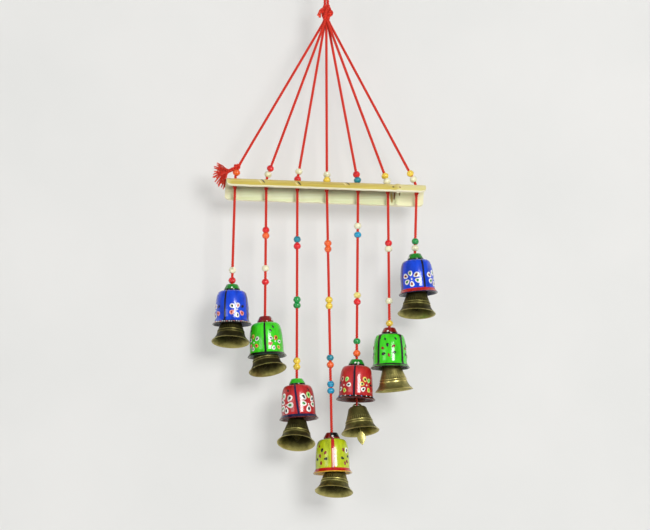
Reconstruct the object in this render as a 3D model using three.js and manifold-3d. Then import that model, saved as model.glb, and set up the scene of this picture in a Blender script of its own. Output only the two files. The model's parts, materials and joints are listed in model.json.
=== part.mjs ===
// A folk wall hanging: seven painted wooden bell cups with brass bells, hung in a V from a split bamboo bar.
// Millimetres, +Z up, +X to the viewer's right, +Y towards the wall.
// The origin is the point of the hanging loop that bears on the nail.
import * as THREE from 'three';
import { mergeVertices } from 'three/addons/utils/BufferGeometryUtils.js';
import Module from 'manifold-3d';

const wasm = await Module();
wasm.setup();

// Fits
const CLEARANCE = 0.3; // gap kept between pieces that touch
const SWAY_GAP = 0.6; // room above the gathering knot, which rocks under the loop
const RING_PLAY = 0.6; // room for a ring or a loop on the wire it hangs from

// Cord and beads
const CORD_D = 2.6; // red cotton cord
const BEAD_D = 7.4; // turned wooden beads, a little flattened
const BEAD_H = 5.8;
const BELLY = 0.36; // share of a bead's or knot's height where it is at its widest

// Hanging loop, gathering knot and fan of stays
const LOOP_HEIGHT = 26.7; // from the nail down to the gathering knot
const LOOP_WIDTH = 11; // between cord centres at the top of the loop
const KNOT_D = 13.4; // the lump of seven cords tied together
const KNOT_H = 18.3;
const NECK_PITCH = 3.1; // between neighbouring cords in the neck of the bundle
const FAN_HEIGHT = 179.6; // from the bottom of the knot to the axis of the culm

// Split bamboo bar: half a culm, open below and towards the viewer
const CULM_D = 29;
const CULM_WALL = 2;
const BAR_TURN = 23; // degrees that the open side turns forward from straight down
const BAR_SLOPE = 2.1; // degrees down to the right
const BAR_END = 8.6; // from the outer holes to the ends
const END_CUT = 5; // degrees that the sawn ends run off square
const HOLE_D = 4.8; // drilled in the middle of the half culm
const NODE_FROM_END = 27.5; // the culm's one node, from the right end
const NODE_WIDTH = 2.4;
const NODE_RIDGE = 2.2; // what is left of the partition inside
const NODE_SWELL = 0.6; // ring outside
const STOP_KNOT_D = 5.6; // knot under each hole, which carries the bar
const STOP_KNOT_H = 6.4;
const KNOT_SEAT = 0.7; // extra drop of the knot under the sloping inner face

// Turned caps and cups
const CAP_TOP_D = 11.6;
const CAP_D = 16.2;
const CAP_H = 6;
const BORE_D = 3.2; // drilled through cap and cup for the cord
const CUP_H = 34.4;
const CUP_CROWN_D = 17; // flat top under the cap
const CUP_SHOULDER_D = 31;
const CUP_SHOULDER_H = 6.5;
const CUP_D = 34;
const CUP_LIP_D = 39.4;
const CUP_LIP_H = 5.2; // height of the flare
const CUP_EDGE = 1.2; // rounding of the lip
const CUP_WALL = 2;
const CUP_TOP_WALL = 4;

// Cast brass bells, hung inside the cups
const BELL_H = 25.4;
const BELL_SHOULDER_D = 18.4;
const BELL_WAIST_D = 26.6; // at the ridges
const BELL_MOUTH_D = 38.3;
const BELL_FLARE = 4; // how far in and up the flare starts to bend
const BELL_WALL = 1.7;
const BELL_CROWN = 1.8;
const RIDGE_DROP = 14.6; // from the crown to the upper ridge
const RIDGE_PITCH = 2.6;
const RIDGE_OUT = 0.45;
const EYE_R = 4.6; // ring through the crown: eye above, clapper staple below
const EYE_WIRE_D = 1.8;
const BELL_LOOP_D = 1.8; // thinner end of the bell cord, tied round the eye
const INNER_KNOT_D = 6.4; // knot inside the cup, which carries the cup
const INNER_KNOT_H = 5.4;

// Clappers
const CLAPPER_WIRE_D = 1.2;
const LEAF_W = 8.4;
const LEAF_H = 14;
const LEAF_T = 1.3;

// Tassel: the frayed end of a cord tied on the first stay
const TASSEL_UP = 14.7; // its knot above the first hole
const TASSEL_OUT = 3.2; // and to the right of it
const TASSEL_KNOT_D = 6.6;
const STRAND_D = 1.1;
const STRANDS = 9;
const STRAND_LENGTH = 26;
const STRAND_NECK = 9; // where the strands start to part
const STRAND_TURN = 176; // degrees from the right to the first strand
const STRAND_SPREAD = 52; // degrees from the first strand to the last

// The strings hang at one pitch, wide enough for a bell beside a neighbouring cup.
const NESTING = 6.15; // how far the staggered heights let the pitch close up
const STRING_PITCH = (BELL_MOUTH_D + CUP_D) / 2 + CLEARANCE - NESTING;

// One row per string, from left to right. Lengths are in millimetres, turns in degrees.
// shift: hole off the even pitch. drift: cup to the right of its hole. length: bar knot to cap.
// roll: turn in the plane of the wall. lean: mouth towards the viewer. eyeUp: bell eye above the cup's lip.
// eyeShift: eye off the cup's axis. clapper: staple to leaf tip. tongueRoll: clapper off plumb.
// above: beads up from the bar. below: beads down from the bar knot.
const PENDANTS = [
  {
    shift: -1.3, drift: -2.5, length: 93.1, cupRoll: 0, eyeUp: 10.5, eyeShift: -0.3, bellRoll: -2, lean: 11,
    clapper: 17, cup: 'blue', cap: 'green', above: [9.2], below: [80.2, 90.5],
  },
  {
    shift: -0.1, drift: -1, length: 124.3, cupRoll: 3, eyeUp: 14.3, eyeShift: -3.2, bellRoll: 9.5, lean: 12.5,
    clapper: 17, cup: 'lime', cap: 'maroon', above: [8.6, 15.1], below: [38.2, 44, 77.1, 90.8],
  },
  {
    shift: 0.8, drift: -0.4, length: 186, cupRoll: 3, eyeUp: 2.9, eyeShift: -1.2, bellRoll: -3, lean: 18.5,
    clapper: 17, cup: 'red', cap: 'leaf', above: [4.6, 12.5], below: [46.6, 53.4, 107.5, 113.3, 169.2, 175.3],
  },
  {
    shift: 0.2, drift: 4.6, length: 239, cupRoll: 1.5, eyeUp: 9.6, eyeShift: 3.2, bellRoll: -3.5, lean: 12,
    clapper: 17, cup: 'yellow', cap: 'black', above: [4.6, 10.4],
    below: [49.4, 55.3, 106.7, 112.9, 165.1, 172.2, 191.7, 198.4],
  },
  {
    shift: 1, drift: -1.4, length: 164.4, cupRoll: -1.5, eyeUp: -3.7, eyeShift: 1.2, bellRoll: 7, lean: 8,
    clapper: 32.5, tongueRoll: 8, cup: 'red', cap: 'green', above: [5.8, 11.8],
    below: [30.8, 39.7, 100.9, 107.6, 147.4, 159.5],
  },
  {
    shift: 0.8, drift: 1.2, length: 131.3, cupRoll: 1, eyeUp: 6.9, eyeShift: 1, bellRoll: 6, lean: -2.5,
    clapper: 17, cup: 'lime', cap: 'maroon', above: [5.8, 11.7], below: [47.1, 53, 105.6, 128.2],
  },
  {
    shift: -1.1, drift: -1.5, length: 55.6, cupRoll: 4.5, eyeUp: 8.5, eyeShift: -1, bellRoll: -0.5, lean: 8,
    clapper: 17, cup: 'blue', cap: 'green', above: [9.5, 16.2], below: [44.4, 51.1],
  },
];

// Facets
const CORD_SIDES = 8;
const THIN_SIDES = 5; // cords and wires inside a cup or a bell
const RING_SIDES = 5;
const RING_STEPS = 8;
const ROUND_SIDES = 15;
const CAP_SIDES = 10;

// Finishes
const PAINT = {
  blue: 0x0a3ee0,
  lime: 0x46c81e,
  red: 0xc8343a,
  yellow: 0xc4cf1c,
  green: 0x128a28,
  leaf: 0x35c424,
  maroon: 0x8c1a12,
  black: 0x1c1012,
};
const cotton = new THREE.MeshStandardMaterial({ color: 0xc4211a, roughness: 0.85, metalness: 0 });
const bamboo = new THREE.MeshStandardMaterial({ color: 0xdccf86, roughness: 0.55, metalness: 0 });
const brass = new THREE.MeshStandardMaterial({ color: 0x7d7038, roughness: 0.4, metalness: 0.9 });
const lacquer = (name) => new THREE.MeshStandardMaterial({ color: PAINT[name], roughness: 0.3 });

const rad = THREE.MathUtils.degToRad;
const at = (x, y, z) => new THREE.Vector3(x, y, z);
const hanging = new THREE.Group();

function add(parent, name, geometry, material) {
  const mesh = new THREE.Mesh(geometry, material);
  mesh.name = name;
  parent.add(mesh);
}

// Shared vertices are joined and the flat slivers on a lathe's axis are left out.
function weld(geometry) {
  geometry.deleteAttribute('normal');
  geometry.deleteAttribute('uv');
  const welded = mergeVertices(geometry, 1e-4);
  const corners = [];
  for (let i = 0; i < welded.index.count; i += 3) {
    const [a, b, c] = [0, 1, 2].map((k) => welded.index.getX(i + k));
    if (a !== b && b !== c && c !== a) corners.push(a, b, c);
  }
  welded.setIndex(corners);
  return welded;
}

function solidOf(geometry) {
  const welded = weld(geometry);
  const vertProperties = new Float32Array(welded.attributes.position.array);
  const triVerts = new Uint32Array(welded.index.array);
  return new wasm.Manifold(new wasm.Mesh({ numProp: 3, vertProperties, triVerts }));
}

function geometryOf(solid) {
  const mesh = solid.getMesh();
  const geometry = new THREE.BufferGeometry();
  geometry.setAttribute('position', new THREE.BufferAttribute(mesh.vertProperties, 3));
  geometry.setIndex(new THREE.BufferAttribute(mesh.triVerts, 1));
  return geometry;
}

const join = (geometries) => geometryOf(geometries.map(solidOf).reduce((all, next) => all.add(next)));

// A turned piece about Z. The profile holds (radius, height) points, running down the outside and up inside.
function turned(profile, sides) {
  return weld(new THREE.LatheGeometry(profile.toReversed(), sides).rotateX(Math.PI / 2));
}

// A round cord from one point to another, with blunt ends and with swells on it: beads or knots.
function cordProfile(length, radius, swells) {
  const top = Math.min(-radius, ...swells.map((swell) => swell.down - swell.h));
  const bottom = Math.max(length + radius, ...swells.map((swell) => swell.down + swell.h));
  const rings = [{ r: radius, down: 0 }, { r: radius, down: length }];
  for (const swell of swells) {
    const rise = swell.h * Math.sin(Math.acos(radius / swell.r));
    for (const side of [-1, 1]) {
      rings.push({ r: radius, down: swell.down + side * rise, swell });
      rings.push({ r: swell.r, down: swell.down + side * swell.h * BELLY, swell });
    }
  }
  const outside = (ring) => (swell) =>
    swell === ring.swell || (ring.r / swell.r) ** 2 + ((ring.down - swell.down) / swell.h) ** 2 > 1;
  const kept = rings.filter((ring) => swells.every(outside(ring))).sort((a, b) => a.down - b.down);
  const whole = [{ r: 0, down: top }, ...kept, { r: 0, down: bottom }];
  return whole.map((ring) => new THREE.Vector2(ring.r, -ring.down));
}

function cord(from, to, swells = [], diameter = CORD_D, sides = CORD_SIDES) {
  const run = to.clone().sub(from);
  const turn = new THREE.Quaternion().setFromUnitVectors(at(0, 0, -1), run.clone().normalize());
  const geometry = turned(cordProfile(run.length(), diameter / 2, swells), sides);
  return geometry.applyQuaternion(turn).translate(from.x, from.y, from.z);
}

const bead = (down, grow = 0) => ({ down, r: (BEAD_D + grow) / 2, h: (BEAD_H + grow) / 2 });

// A wire ring about X, round a point.
function ringAboutX(radius, wire, point) {
  const ring = new THREE.TorusGeometry(radius, wire / 2, RING_SIDES, RING_STEPS);
  return ring.rotateY(Math.PI / 2).translate(point.x, point.y, point.z);
}

function tube(curve, diameter, sides, steps) {
  const section = new THREE.Shape();
  section.absarc(0, 0, diameter / 2, 0, 2 * Math.PI);
  return new THREE.ExtrudeGeometry(section, { steps, extrudePath: curve, curveSegments: sides / 2 });
}

// Hanging loop: one cord up from the knot, over the nail and back.
const knotTop = -LOOP_HEIGHT;
const loopFoot = knotTop + SWAY_GAP;
const loopTop = CORD_D / 2;
const footHalf = (CORD_D + CLEARANCE) / 2;
const loopHalf = LOOP_WIDTH / 2;
const loopPath = new THREE.CatmullRomCurve3([
  at(-footHalf, 0, loopFoot),
  at(-footHalf, 0, loopFoot + LOOP_HEIGHT * 0.25),
  at(-loopHalf * 0.75, 0, loopTop - loopHalf * 2),
  at(-loopHalf, 0, loopTop - loopHalf),
  at(-loopHalf * Math.SQRT1_2, 0, loopTop - loopHalf * (1 - Math.SQRT1_2)),
  at(0, 0, loopTop),
  at(loopHalf * Math.SQRT1_2, 0, loopTop - loopHalf * (1 - Math.SQRT1_2)),
  at(loopHalf, 0, loopTop - loopHalf),
  at(loopHalf * 0.75, 0, loopTop - loopHalf * 2),
  at(footHalf, 0, loopFoot + LOOP_HEIGHT * 0.25),
  at(footHalf, 0, loopFoot),
]);
add(hanging, 'hanging_loop', weld(tube(loopPath, CORD_D, CORD_SIDES, 2 * CORD_SIDES)), cotton);

// Gathering knot: a core with three wraps of cord round it, and two cut ends at its left.
const WRAP_TURN = 24; // degrees between neighbouring wraps
const WRAP_D = CORD_D * 1.24; // a wrap is a pair of strands side by side
const knotBottom = knotTop - KNOT_H;
const knotMiddle = knotTop - KNOT_H / 2;
function gatheringKnot() {
  const core = new THREE.Path();
  const neck = NECK_PITCH + CORD_D;
  core.moveTo(0, knotTop);
  core.quadraticCurveTo(KNOT_D * 0.32, knotTop - CORD_D * 0.3, KNOT_D * 0.36, knotTop - CORD_D * 2);
  core.lineTo(KNOT_D / 2, knotMiddle);
  core.quadraticCurveTo(KNOT_D / 2, knotBottom + CORD_D, neck, knotBottom);
  core.lineTo(0, knotBottom);
  const wraps = [-1, 0, 1].map((n) =>
    new THREE.TorusGeometry(KNOT_D / 2 - CORD_D * 0.35, WRAP_D / 2, RING_SIDES, RING_STEPS)
      .rotateY(rad(WRAP_TURN * (n + 1 / 3)))
      .rotateX(rad(WRAP_TURN * n * 0.75))
      .translate(0, 0, knotMiddle - n * CORD_D * 0.9),
  );
  const ends = [1, -1].map((n) =>
    cord(
      at(-KNOT_D * 0.3, n * CORD_D * 0.6, knotMiddle + n * CORD_D),
      at(-KNOT_D * 0.62, n * CORD_D * 1.1, knotMiddle - CORD_D * (1.2 - n * 0.6)),
      [],
      CORD_D,
      THIN_SIDES,
    ),
  );
  return join([turned(core.getPoints(2), CORD_SIDES), ...wraps, ...ends]);
}
add(hanging, 'gathering_knot', gatheringKnot(), cotton);

// Bamboo bar. Its own frame has the culm's axis along X and its middle line at BAR_TURN behind the top.
const outerR = CULM_D / 2;
const innerR = outerR - CULM_WALL;
const wallR = (outerR + innerR) / 2;
const middleTurn = rad(90 - BAR_TURN);
const barAxisZ = knotBottom - FAN_HEIGHT;
const barFrame = new THREE.Matrix4()
  .makeRotationY(rad(BAR_SLOPE))
  .setPosition(0, -wallR * Math.cos(middleTurn), barAxisZ);
const holeX = (index) => (index - (PENDANTS.length - 1) / 2) * STRING_PITCH + PENDANTS[index].shift;
const barLeft = holeX(0) - BAR_END;
const barRight = holeX(PENDANTS.length - 1) + BAR_END;
const holeMiddle = (index) =>
  at(holeX(index), wallR * Math.cos(middleTurn), wallR * Math.sin(middleTurn)).applyMatrix4(barFrame);

// A half ring along X, open on the side away from the middle line.
function halfRing(inner, outer, from, to) {
  const section = new THREE.Shape();
  section.absarc(0, 0, outer, middleTurn - Math.PI / 2, middleTurn + Math.PI / 2, false);
  section.absarc(0, 0, inner, middleTurn + Math.PI / 2, middleTurn - Math.PI / 2, true);
  const alongX = new THREE.Matrix4().makeBasis(at(0, 1, 0), at(0, 0, 1), at(1, 0, 0)).setPosition(from, 0, 0);
  const settings = { depth: to - from, bevelEnabled: false, curveSegments: THIN_SIDES };
  return new THREE.ExtrudeGeometry(section, settings).applyMatrix4(alongX);
}

function bambooBar() {
  const node = barRight - NODE_FROM_END;
  const spare = CULM_D;
  let bar = solidOf(halfRing(innerR, outerR, barLeft - spare, barRight + spare));
  const partition = halfRing(innerR - NODE_RIDGE, wallR, node - NODE_WIDTH / 2, node + NODE_WIDTH / 2);
  const swell = halfRing(wallR, outerR + NODE_SWELL, node - NODE_WIDTH, node + NODE_WIDTH);
  bar = bar.add(solidOf(partition)).add(solidOf(swell));
  for (const [x, side] of [[barLeft, -1], [barRight, 1]]) {
    const saw = new THREE.BoxGeometry(CULM_D * 2, CULM_D * 3, CULM_D * 3).translate(side * CULM_D, 0, 0);
    bar = bar.subtract(solidOf(saw.rotateZ(rad(END_CUT)).translate(x, 0, 0)));
  }
  for (const index of PENDANTS.keys()) {
    const drill = new THREE.CylinderGeometry(HOLE_D / 2, HOLE_D / 2, CULM_WALL * 4, CORD_SIDES);
    drill.translate(0, wallR, 0).rotateX(middleTurn).translate(holeX(index), 0, 0);
    bar = bar.subtract(solidOf(drill));
  }
  return geometryOf(bar);
}
const bar = new THREE.Group();
bar.applyMatrix4(barFrame);
add(bar, 'bamboo_bar', bambooBar(), bamboo);
hanging.add(bar);

// Stays: from the neck of the bundle straight to the hole, through it, and into the stop knot below.
const neckTop = knotBottom - CLEARANCE - CORD_D / 2;
const neckSide = NECK_PITCH * Math.sin(rad(60));
const neckPlaces = [
  [-NECK_PITCH, 0], [-NECK_PITCH / 2, -neckSide], [-NECK_PITCH / 2, neckSide], [0, 0],
  [NECK_PITCH / 2, neckSide], [NECK_PITCH / 2, -neckSide], [NECK_PITCH, 0],
];
const holeTop = CULM_WALL + CORD_D / 2; // where a stay turns down into its hole
const knotDrop = CULM_WALL / 2 + KNOT_SEAT + CLEARANCE + STOP_KNOT_H / 2;

// grow widens the cord and its beads, to cut a channel for them.
function stay(index, grow = 0) {
  const [side, depth] = neckPlaces[index];
  const from = at(side, depth, neckTop);
  const hole = holeMiddle(index);
  const bend = hole.clone().add(at(0, 0, holeTop));
  const knot = { down: holeTop + knotDrop, r: STOP_KNOT_D / 2, h: STOP_KNOT_H / 2 };
  const through = cord(bend, hole.clone().sub(at(0, 0, knotDrop)), [knot], CORD_D, THIN_SIDES);
  const thick = CORD_D + grow;
  const beadsFrom = (length) => PENDANTS[index].above.map((up) => bead(length + holeTop - up, grow));
  if (index > 0) {
    return join([cord(from, bend, beadsFrom(from.distanceTo(bend)), thick), through]);
  }
  const knee = tasselPoint();
  const fall = cord(knee, bend, beadsFrom(knee.distanceTo(bend)), thick);
  return join([cord(from, knee, [], thick), fall, through]);
}

// Tassel: a small knot round the first stay, and strands that fan out past the left end of the bar.
function tasselPoint() {
  return holeMiddle(0).add(at(TASSEL_OUT, 0, TASSEL_UP));
}

function tassel() {
  const knot = tasselPoint().add(at(-CORD_D * 0.6, 0, 0));
  const strands = [];
  for (let n = 0; n < STRANDS; n += 1) {
    const share = n / (STRANDS - 1);
    const depth = Math.sin(n * 2.4) * TASSEL_KNOT_D * 0.55;
    const reach = STRAND_LENGTH * (0.88 + 0.12 * Math.cos(n * 1.7));
    const angle = rad(STRAND_TURN + STRAND_SPREAD * share);
    const start = knot.clone().add(at(-TASSEL_KNOT_D * 0.2, depth * 0.3, 0));
    const middle = start.clone().add(at(-STRAND_NECK, depth * 0.3, -STRAND_NECK * 0.4));
    const end = start.clone().add(at(Math.cos(angle) * reach, depth, Math.sin(angle) * reach));
    strands.push(tube(new THREE.QuadraticBezierCurve3(start, middle, end), STRAND_D, 4, 3));
  }
  const lump = new THREE.SphereGeometry(TASSEL_KNOT_D / 2, CORD_SIDES, 5).translate(knot.x, knot.y, knot.z);
  const channel = solidOf(stay(0, 2 * CLEARANCE));
  return geometryOf(solidOf(join([lump, ...strands])).subtract(channel));
}

for (const index of PENDANTS.keys()) {
  add(hanging, `stay_${index + 1}`, stay(index), cotton);
}
add(hanging, 'tassel', tassel(), cotton);

// A cup: crown, rounded shoulder, slightly tapering body and a flared lip, hollow below.
function cupProfile() {
  const outside = new THREE.Path();
  const body = CUP_D / 2;
  const shoulder = CUP_SHOULDER_D / 2;
  outside.moveTo(BORE_D / 2, 0);
  outside.lineTo(CUP_CROWN_D / 2, 0);
  outside.quadraticCurveTo(shoulder * 0.93, -CUP_SHOULDER_H * 0.12, shoulder, -CUP_SHOULDER_H);
  outside.quadraticCurveTo(body, -CUP_H / 2, body, -CUP_H + CUP_LIP_H);
  outside.lineTo(CUP_LIP_D / 2, -CUP_H + CUP_EDGE);
  outside.lineTo(CUP_LIP_D / 2 - CUP_EDGE, -CUP_H);
  outside.lineTo(body - CUP_WALL, -CUP_H + CUP_LIP_H);
  outside.lineTo(shoulder - CUP_WALL, -CUP_SHOULDER_H - CUP_WALL);
  outside.lineTo(CUP_CROWN_D / 2, -CUP_TOP_WALL);
  outside.lineTo(BORE_D / 2, -CUP_TOP_WALL);
  outside.lineTo(BORE_D / 2, 0);
  return outside.getPoints(2);
}

function capProfile() {
  const outside = new THREE.Path();
  outside.moveTo(BORE_D / 2, 0);
  outside.lineTo(CAP_TOP_D / 2, 0);
  outside.lineTo(CAP_D / 2, -CAP_H * 0.6);
  outside.lineTo(CAP_D / 2, -CAP_H);
  outside.lineTo(BORE_D / 2, -CAP_H);
  outside.lineTo(BORE_D / 2, 0);
  return outside.getPoints(2);
}

// A bell: bevelled crown, tapering waist with two ridges, flared mouth, open below.
function bellProfile() {
  const outside = new THREE.Path();
  const shoulder = BELL_SHOULDER_D / 2;
  const waist = BELL_WAIST_D / 2;
  const mouth = BELL_MOUTH_D / 2;
  outside.moveTo(0, 0);
  outside.lineTo(shoulder - BELL_WALL, 0);
  outside.lineTo(shoulder, -BELL_WALL);
  outside.lineTo(waist, -RIDGE_DROP + RIDGE_OUT);
  outside.lineTo(waist + RIDGE_OUT, -RIDGE_DROP);
  outside.lineTo(waist + RIDGE_OUT, -RIDGE_DROP - RIDGE_PITCH / 2);
  outside.lineTo(waist + 2 * RIDGE_OUT, -RIDGE_DROP - RIDGE_PITCH);
  outside.quadraticCurveTo(mouth - BELL_FLARE, -BELL_H + BELL_FLARE, mouth, -BELL_H);
  outside.lineTo(mouth - BELL_WALL, -BELL_H);
  outside.lineTo(waist - BELL_WALL + RIDGE_OUT, -RIDGE_DROP - RIDGE_PITCH);
  outside.lineTo(shoulder - BELL_WALL, -BELL_CROWN);
  outside.lineTo(0, -BELL_CROWN);
  return outside.getPoints(2);
}

// The bell's own frame has its zero at the middle of the wire at the top of the eye.
const crownDown = EYE_R - BELL_CROWN / 2;
function bell() {
  const body = turned(bellProfile(), ROUND_SIDES).translate(0, 0, -crownDown);
  const ring = new THREE.TorusGeometry(EYE_R, EYE_WIRE_D / 2, RING_SIDES, CAP_SIDES).rotateX(Math.PI / 2);
  return join([body, ring.translate(0, 0, -EYE_R)]);
}

// Clapper: a wire ring in the staple, a stem, and a flat leaf with its point down.
function clapper(length) {
  const ringR = EYE_WIRE_D / 2 + RING_PLAY + CLAPPER_WIRE_D / 2;
  const leafTop = -length + LEAF_H;
  const leaf = new THREE.Shape();
  leaf.moveTo(0, leafTop);
  leaf.quadraticCurveTo(LEAF_W * 0.62, leafTop - LEAF_H * 0.2, LEAF_W / 2, leafTop - LEAF_H * 0.5);
  leaf.quadraticCurveTo(LEAF_W * 0.3, leafTop - LEAF_H * 0.78, 0, -length);
  leaf.quadraticCurveTo(-LEAF_W * 0.3, leafTop - LEAF_H * 0.78, -LEAF_W / 2, leafTop - LEAF_H * 0.5);
  leaf.quadraticCurveTo(-LEAF_W * 0.62, leafTop - LEAF_H * 0.2, 0, leafTop);
  const plate = new THREE.ExtrudeGeometry(leaf, { depth: LEAF_T, bevelEnabled: false, curveSegments: 3 });
  plate.translate(0, 0, -LEAF_T / 2).rotateX(Math.PI / 2);
  const stem = cord(at(0, 0, -ringR), at(0, 0, leafTop - LEAF_H * 0.2), [], CLAPPER_WIRE_D, THIN_SIDES);
  return join([ringAboutX(ringR, CLAPPER_WIRE_D, at(0, 0, 0)), stem, plate]);
}

// Bell cord: through cap and cup, a knot under the cup's top, and a loop round the eye of the bell.
const capTop = -CORD_D / 2 - CLEARANCE;
const cupTop = capTop - CAP_H - CLEARANCE;
function bellCord(eye) {
  const loopR = EYE_WIRE_D / 2 + RING_PLAY + BELL_LOOP_D / 2;
  const top = at(0, 0, capTop - CORD_D / 2);
  const knotDown = cupTop - CUP_TOP_WALL - CLEARANCE - INNER_KNOT_H / 2;
  const knot = { down: top.z - knotDown, r: INNER_KNOT_D / 2, h: INNER_KNOT_H / 2 };
  const through = cord(top, at(0, 0, knotDown), [knot], CORD_D, THIN_SIDES);
  const fall = cord(at(0, 0, knotDown), eye.clone().add(at(0, 0, loopR)), [], BELL_LOOP_D, THIN_SIDES);
  return join([through, fall, ringAboutX(loopR, BELL_LOOP_D, eye)]);
}

// Strings with their cups and bells. A string swings at the bar, a cup rocks at the end of its string,
// a bell swings in its cup and a clapper hangs plumb in its bell, or nearly so.
const stringDrop = knotDrop + STOP_KNOT_H / 2 + CLEARANCE + CORD_D / 2;
for (const [index, row] of PENDANTS.entries()) {
  const number = index + 1;
  const from = holeMiddle(index).sub(at(0, 0, stringDrop));
  const to = from.clone().add(at(row.drift, 0, -row.length));
  const beads = row.below.map((down) => bead(down));
  add(hanging, `string_${number}`, cord(from, to, beads), cotton);

  const cup = new THREE.Group();
  cup.position.copy(to);
  cup.rotation.y = rad(-row.cupRoll);
  add(cup, `cap_${number}`, turned(capProfile(), CAP_SIDES).translate(0, 0, capTop), lacquer(row.cap));
  add(cup, `cup_${number}`, turned(cupProfile(), ROUND_SIDES).translate(0, 0, cupTop), lacquer(row.cup));
  const eye = at(row.eyeShift, 0, cupTop - CUP_H + row.eyeUp);
  add(cup, `bell_cord_${number}`, bellCord(eye), cotton);

  const brassBell = new THREE.Group();
  brassBell.position.copy(eye);
  brassBell.rotation.set(rad(-row.lean), rad(row.cupRoll - row.bellRoll), 0, 'YXZ');
  add(brassBell, `bell_${number}`, bell(), brass);

  const tongue = new THREE.Group();
  tongue.position.set(0, 0, -2 * EYE_R);
  tongue.rotation.set(rad(row.lean), rad(row.bellRoll - (row.tongueRoll ?? 0)), 0, 'XYZ');
  add(tongue, `clapper_${number}`, clapper(row.clapper), brass);

  brassBell.add(tongue);
  cup.add(brassBell);
  hanging.add(cup);
}

export default hanging;
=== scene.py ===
import bisect
import json
import random
from math import atan2, copysign, cos, degrees, exp, pi, radians, sin, sqrt, tan

import bmesh
import bpy
from mathutils import Matrix, Vector
from mathutils.geometry import interpolate_bezier
from mathutils.noise import noise


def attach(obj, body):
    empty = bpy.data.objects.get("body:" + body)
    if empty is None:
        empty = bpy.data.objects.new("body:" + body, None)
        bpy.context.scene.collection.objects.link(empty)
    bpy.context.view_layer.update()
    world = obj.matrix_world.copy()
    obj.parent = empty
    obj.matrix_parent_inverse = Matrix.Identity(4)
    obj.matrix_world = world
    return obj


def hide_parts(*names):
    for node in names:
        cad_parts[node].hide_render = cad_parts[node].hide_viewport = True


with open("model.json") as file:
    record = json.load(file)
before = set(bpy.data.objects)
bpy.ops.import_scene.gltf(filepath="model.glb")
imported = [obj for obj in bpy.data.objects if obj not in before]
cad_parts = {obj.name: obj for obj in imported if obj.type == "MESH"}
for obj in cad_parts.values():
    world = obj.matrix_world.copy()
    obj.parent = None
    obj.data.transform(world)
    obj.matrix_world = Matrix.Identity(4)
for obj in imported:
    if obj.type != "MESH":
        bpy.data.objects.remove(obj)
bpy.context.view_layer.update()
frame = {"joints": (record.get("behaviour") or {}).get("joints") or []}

scene = bpy.context.scene


# The hanging is seen from five metres, square to its wall and from a little below.
# A plain pale wall and floor stand round it, and two soft lamps light it from the front.
AIM = Vector((-0.0013, 0, -0.2936))
CAMERA_AWAY = 5
PICTURE_WIDTH = 0.65
SENSOR_WIDTH = 36
LOOK_UP = radians(9)
WALL_Y = 0.048
WALL_REACH = 3
FLOOR_AT = (0, -2, -1.7)
FLOOR_REACH = 4
PALE = (0.9, 0.9, 0.89)
PALE_SHARE = 0.5  # how much of this plain colour the camera sees on the wall and the floor
AMBIENT = 0.29


def tint(*colour):
    """A colour as it is seen, made linear for a shader."""
    return [c / 12.92 if c < 0.04 else ((c + 0.055) / 1.055) ** 2.4 for c in colour] + [1]


def fill(made, inputs):
    """Links or sets the inputs of a shader node."""
    for name, value in inputs.items():
        if isinstance(value, bpy.types.NodeSocket):
            made.id_data.links.new(value, made.inputs[name])
        else:
            made.inputs[name].default_value = value


def node(tree, kind, inputs, output=0, **settings):
    """One output of a new shader node."""
    made = tree.nodes.new("ShaderNode" + kind)
    for name, value in settings.items():
        setattr(made, name, value)
    fill(made, inputs)
    return made.outputs[output]


def ramp(tree, factor, stops):
    """A run of colours along a factor."""
    shade = node(tree, "ValToRGB", {0: factor})
    elements = shade.node.color_ramp.elements
    (low, *first), *between, (high, *last) = stops
    elements[0].position, elements[0].color = low, tint(*first)
    elements[1].position, elements[1].color = high, tint(*last)
    for place, *colour in between:
        elements.new(place).color = tint(*colour)
    return shade


def speckle(tree, scale, detail=3, stretch=None):
    """Noise on the object's own coordinates, drawn out along the axes where stretch says so."""
    place = node(tree, "TexCoord", {}, "Object")
    if stretch:
        place = node(tree, "Mapping", {"Vector": place, "Scale": stretch})
    return node(tree, "TexNoise", {"Vector": place, "Scale": scale, "Detail": detail})


def bare_finish(name):
    finish = bpy.data.materials.new(name)
    finish.use_nodes = True
    return finish, finish.node_tree, finish.node_tree.nodes["Principled BSDF"]


def pale_plaster():
    finish, tree, skin = bare_finish("pale_plaster")
    greys = [(0.35, 0.88, 0.88, 0.87), (0.65, 0.91, 0.905, 0.895)]
    grey = ramp(tree, speckle(tree, 6), greys)
    fill(skin, {"Base Color": grey, "Roughness": 0.95, "Specular IOR Level": 0.1})
    plain = node(tree, "Emission", {"Color": tint(*PALE)})
    seen = node(tree, "LightPath", {}, "Is Camera Ray")
    share = node(tree, "Math", {0: PALE_SHARE, 1: seen}, operation="MULTIPLY")
    pale = node(tree, "MixShader", {0: share, 1: skin.outputs[0], 2: plain})
    behind = node(tree, "NewGeometry", {}, "Backfacing")
    clear = node(tree, "BsdfTransparent", {})
    both = node(tree, "MixShader", {0: behind, 1: pale, 2: clear})
    fill(tree.nodes["Material Output"], {"Surface": both})
    return finish


def mesh_of(bm, name):
    mesh = bpy.data.meshes.new(name)
    bm.to_mesh(mesh)
    bm.free()
    return mesh


def put(name, data):
    """A new object in the scene."""
    made = bpy.data.objects.new(name, data)
    scene.collection.objects.link(made)
    return made


def studio_sheet(name, reach, place):
    bm = bmesh.new()
    bmesh.ops.create_grid(bm, x_segments=1, y_segments=1, size=reach, matrix=place)
    sheet = put(name, mesh_of(bm, name))
    sheet.data.materials.append(plaster)


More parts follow.
